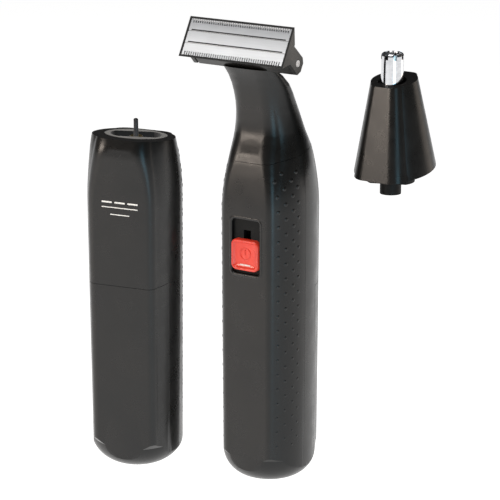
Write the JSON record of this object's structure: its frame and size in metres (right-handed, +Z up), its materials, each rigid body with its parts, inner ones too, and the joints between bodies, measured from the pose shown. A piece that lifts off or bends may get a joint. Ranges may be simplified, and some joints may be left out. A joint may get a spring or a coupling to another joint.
{
  "type": "nose hair trimmer",
  "caption": "Battery nose and face hair trimmer set with push-on shaver and cone heads, a sliding thumb switch and a slide-off battery cover.",
  "frame": {"origin": "middle of the grip of the handle that has its head fitted, on that handle's centre line", "axes": "+Z up along the handle towards its head, -Y out of the face with the switch, +X to the right of that face"},
  "size_m": [0.0851, 0.092, 0.1473],
  "materials": {
    "case_plastic": "satin black moulding",
    "ring_plastic": "light grey moulding",
    "inner_plastic": "black engineering plastic",
    "button_plastic": "red moulding",
    "blade_steel": "brushed along the teeth",
    "steel": "turned",
    "nickel_strip": "stamped and plated",
    "chrome": "polished",
    "brass": "turned",
    "cell_jacket": "printed shrink sleeve",
    "wire_sleeve": "soft wire insulation"
  },
  "bodies": {
    "main_handle": {"main_front_shell": "case_plastic", "main_back_shell": "case_plastic", "main_socket_ring": "ring_plastic", "main_socket_cup": "inner_plastic", "main_chassis": "inner_plastic", "main_motor_can": "steel", "main_motor_cap": "inner_plastic", "main_switch_liner": "inner_plastic", "main_switch_contacts": "nickel_strip", "main_battery": "cell_jacket", "main_battery_spring": "nickel_strip", "main_battery_plate": "nickel_strip", "main_motor_leads": "wire_sleeve", "main_case_screws": "steel"},
    "main_cover": {"main_battery_cover": "case_plastic"},
    "main_switch": {"main_switch_button": "button_plastic", "main_switch_slider": "inner_plastic"},
    "main_drive": {"main_motor_shaft": "steel", "main_drive_hub": "brass", "main_drive_pin": "steel"},
    "spare_handle": {"spare_front_shell": "case_plastic", "spare_back_shell": "case_plastic", "spare_socket_ring": "ring_plastic", "spare_socket_cup": "inner_plastic", "spare_chassis": "inner_plastic", "spare_motor_can": "steel", "spare_motor_cap": "inner_plastic", "spare_switch_liner": "inner_plastic", "spare_switch_contacts": "nickel_strip", "spare_battery": "cell_jacket", "spare_battery_spring": "nickel_strip", "spare_battery_plate": "nickel_strip", "spare_motor_leads": "wire_sleeve", "spare_case_screws": "steel"},
    "spare_cover": {"spare_battery_cover": "case_plastic"},
    "spare_switch": {"spare_switch_button": "button_plastic", "spare_switch_slider": "inner_plastic"},
    "spare_drive": {"spare_motor_shaft": "steel", "spare_drive_hub": "brass", "spare_drive_pin": "steel"},
    "shaver_neck": {"neck_shell": "case_plastic", "neck_collar": "inner_plastic", "pivot_pins": "steel", "lever_axle": "steel", "blade_spring": "steel"},
    "shaver_rotor": {"shaver_sleeve": "inner_plastic"},
    "rocking_lever": {"crank_lever": "inner_plastic"},
    "blade_tray": {"blade_frame": "case_plastic", "fixed_blade": "blade_steel"},
    "cutter": {"moving_blade": "steel"},
    "nose_head": {"cone_shell": "case_plastic", "nose_collar": "inner_plastic", "outer_cutter": "chrome", "retaining_ring": "inner_plastic", "nose_spring": "steel"},
    "nose_rotor": {"nose_sleeve": "inner_plastic", "nose_spindle": "inner_plastic", "inner_cutter": "steel"}
  },
  "joints": [
    {"name": "main_switch_slide", "type": "slide", "parent": "main_handle", "child": "main_switch", "axis": [0, 0, 1], "range_m": [0, 0.0058]},
    {"name": "main_cover_slide", "type": "slide", "parent": "main_handle", "child": "main_cover", "axis": [0, 0, -1], "range_m": [0, 0.03]},
    {"name": "main_drive_spin", "type": "hinge", "parent": "main_handle", "child": "main_drive", "pos_m": [0, -0.0018, 0.04], "axis": [0, 0, 1], "continuous": true},
    {"name": "spare_switch_slide", "type": "slide", "parent": "spare_handle", "child": "spare_switch", "axis": [0.0719, -0.0981, 0.9926], "range_m": [0, 0.0058]},
    {"name": "spare_cover_slide", "type": "slide", "parent": "spare_handle", "child": "spare_cover", "axis": [-0.0719, 0.0981, -0.9926], "range_m": [0, 0.03]},
    {"name": "spare_drive_spin", "type": "hinge", "parent": "spare_handle", "child": "spare_drive", "pos_m": [-0.02169, -0.03971, 0.0498], "axis": [0.0719, -0.0981, 0.9926], "continuous": true},
    {"name": "shaver_head_lift", "type": "slide", "parent": "main_handle", "child": "shaver_neck", "axis": [0, 0, 1], "range_m": [0, 0.02]},
    {"name": "shaver_rotor_spin", "type": "hinge", "parent": "shaver_neck", "child": "shaver_rotor", "pos_m": [0, -0.0018, 0.053], "axis": [0, 0, 1], "continuous": true},
    {"name": "lever_rock", "type": "hinge", "parent": "shaver_neck", "child": "rocking_lever", "pos_m": [0, -0.004, 0.0695], "axis": [0, 1, 0], "range_deg": [-3, 3]},
    {"name": "blade_tilt", "type": "hinge", "parent": "shaver_neck", "child": "blade_tray", "pos_m": [0, -0.0135, 0.0812], "axis": [1, 0, 0], "range_deg": [-10, 10], "stiffness_Nm_per_rad": 0.02},
    {"name": "cutter_slide", "type": "slide", "parent": "blade_tray", "child": "cutter", "axis": [1, 0, 0], "range_m": [-0.0008, 0.0008]},
    {"name": "spare_handle_lift", "type": "slide", "parent": "main_handle", "child": "spare_handle", "axis": [0, 0, 1], "range_m": [0, 0.05]},
    {"name": "nose_head_lift", "type": "slide", "parent": "main_handle", "child": "nose_head", "axis": [0, 0, 1], "range_m": [0, 0.03]},
    {"name": "nose_rotor_spin", "type": "hinge", "parent": "nose_head", "child": "nose_rotor", "pos_m": [0.0311, 0.0203, 0.0584], "axis": [0, 0, 1], "continuous": true}
  ],
  "couplings": [
    {"joint": "shaver_rotor_spin", "follows": "main_drive_spin", "ratio": 1},
    {"joint": "lever_rock", "follows": "cutter_slide", "rad_per_m": 62.305}
  ]
}
